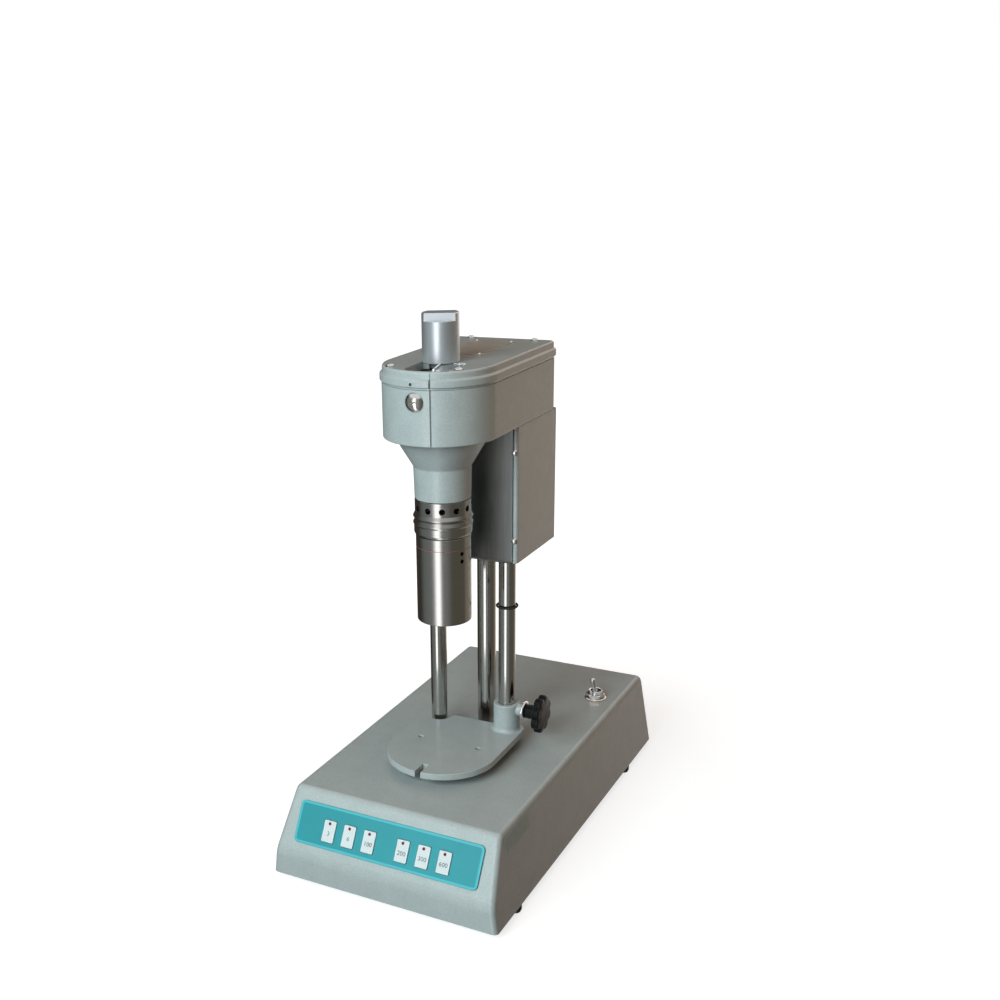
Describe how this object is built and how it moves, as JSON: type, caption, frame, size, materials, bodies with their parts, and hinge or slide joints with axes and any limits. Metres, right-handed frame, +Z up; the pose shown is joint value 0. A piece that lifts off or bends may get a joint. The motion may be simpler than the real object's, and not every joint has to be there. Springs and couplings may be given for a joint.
{
  "type": "rotational viscometer",
  "caption": "Rotational viscometer with a keypad base, column frame, clamped sliding sample stage, geared rotor sleeve and a sprung bob that turns a dial.",
  "frame": {"origin": "on the table under the middle of the base", "axes": "+Z up the columns, -Y towards the keypad side, +X to the clamp knob's side"},
  "size_m": [0.1878, 0.3448, 0.42],
  "materials": {
    "hammered_paint": "hammered enamel",
    "ground_steel": "ground",
    "brushed_steel": "brushed sheet",
    "satin_aluminium": "satin",
    "black_plastic": "gloss",
    "black_rubber": "matt",
    "keypad_film": "printed film",
    "key_film": "printed film",
    "bright_plate": "bright plated",
    "brass": "turned",
    "window_glass": "clear",
    "dial_enamel": "matt enamel",
    "circuit_board": "solder mask",
    "core_steel": "varnished laminations"
  },
  "bodies": {
    "root": {"base_case": "hammered_paint", "base_plate": "hammered_paint", "rear_panel": "hammered_paint", "foot_front_left": "black_rubber", "foot_front_right": "black_rubber", "foot_rear_left": "black_rubber", "foot_rear_right": "black_rubber", "keypad_panel": "keypad_film", "key_board": "circuit_board", "toggle_switch": "black_plastic", "toggle_washer": "brass", "toggle_nut": "bright_plate", "power_inlet": "black_plastic", "fuse_holder": "black_plastic", "transformer": "core_steel", "drive_board": "circuit_board", "column_frame": "satin_aluminium", "column_left": "ground_steel", "column_right": "ground_steel", "column_rear": "ground_steel", "column_nut_left": "bright_plate", "column_nut_right": "bright_plate", "column_nut_rear": "bright_plate", "stop_ring": "black_rubber", "head_body": "hammered_paint", "head_lid": "hammered_paint", "dial_window": "window_glass", "front_screw": "bright_plate", "splash_guard": "ground_steel", "lower_bearing": "bright_plate", "upper_bearing": "bright_plate", "bearing_bridge": "satin_aluminium", "bob_bearing_lower": "bright_plate", "bob_bearing_upper": "bright_plate", "idler_pin": "bright_plate", "motor": "bright_plate", "motor_cover": "hammered_paint", "motor_panel": "brushed_steel", "spring_cap": "satin_aluminium", "spring_arbor": "brass"},
    "stage": {"stage_plate": "hammered_paint", "clamp_washer": "bright_plate"},
    "clamp": {"clamp_knob": "black_plastic", "clamp_screw": "bright_plate"},
    "rotor": {"rotor_sleeve": "ground_steel", "rotor_spindle": "ground_steel", "spindle_gear": "brass"},
    "idler": {"idler_gear": "brass"},
    "pinion": {"motor_pinion": "brass"},
    "bob_assembly": {"bob": "ground_steel", "bob_shaft": "ground_steel", "dial_disc": "dial_enamel", "torsion_spring": "bright_plate"},
    "toggle": {"toggle_lever": "bright_plate"},
    "key_3_button": {"key_3": "key_film"},
    "key_6_button": {"key_6": "key_film"},
    "key_100_button": {"key_100": "key_film"},
    "key_200_button": {"key_200": "key_film"},
    "key_300_button": {"key_300": "key_film"},
    "key_600_button": {"key_600": "key_film"}
  },
  "joints": [
    {"name": "rotor_spin", "type": "hinge", "parent": "root", "child": "rotor", "pos_m": [0, -0.0588, 0.3], "axis": [0, 0, 1], "continuous": true},
    {"name": "idler_spin", "type": "hinge", "parent": "root", "child": "idler", "pos_m": [0, -0.0018, 0.3455], "axis": [0, 0, 1], "continuous": true},
    {"name": "pinion_spin", "type": "hinge", "parent": "root", "child": "pinion", "pos_m": [0, 0.0372, 0.3455], "axis": [0, 0, 1], "continuous": true},
    {"name": "bob_turn", "type": "hinge", "parent": "root", "child": "bob_assembly", "pos_m": [0, -0.0588, 0.3], "axis": [0, 0, 1], "range_deg": [0, 300], "stiffness_Nm_per_rad": 0.00221},
    {"name": "stage_slide", "type": "slide", "parent": "root", "child": "stage", "axis": [0, 0, 1], "range_m": [-0.0068, 0.0775]},
    {"name": "clamp_turn", "type": "hinge", "parent": "stage", "child": "clamp", "pos_m": [0.05, -0.01017, 0.1013], "axis": [1, 0, 0], "range_deg": [0, 540]},
    {"name": "toggle_flip", "type": "hinge", "parent": "root", "child": "toggle", "pos_m": [0.0652, 0.1003, 0.0723], "axis": [0, 1, 0], "range_deg": [0, 24]},
    {"name": "key_3_press", "type": "slide", "parent": "root", "child": "key_3_button", "axis": [0, 0.8646, -0.5025], "range_m": [0, 0.0006], "stiffness_N_per_m": 900, "springref_m": -0.0006},
    {"name": "key_6_press", "type": "slide", "parent": "root", "child": "key_6_button", "axis": [0, 0.8646, -0.5025], "range_m": [0, 0.0006], "stiffness_N_per_m": 900, "springref_m": -0.0006},
    {"name": "key_100_press", "type": "slide", "parent": "root", "child": "key_100_button", "axis": [0, 0.8646, -0.5025], "range_m": [0, 0.0006], "stiffness_N_per_m": 900, "springref_m": -0.0006},
    {"name": "key_200_press", "type": "slide", "parent": "root", "child": "key_200_button", "axis": [0, 0.8646, -0.5025], "range_m": [0, 0.0006], "stiffness_N_per_m": 900, "springref_m": -0.0006},
    {"name": "key_300_press", "type": "slide", "parent": "root", "child": "key_300_button", "axis": [0, 0.8646, -0.5025], "range_m": [0, 0.0006], "stiffness_N_per_m": 900, "springref_m": -0.0006},
    {"name": "key_600_press", "type": "slide", "parent": "root", "child": "key_600_button", "axis": [0, 0.8646, -0.5025], "range_m": [0, 0.0006], "stiffness_N_per_m": 900, "springref_m": -0.0006}
  ],
  "couplings": [
    {"joint": "idler_spin", "follows": "rotor_spin", "ratio": -0.9},
    {"joint": "pinion_spin", "follows": "rotor_spin", "ratio": 3}
  ]
}
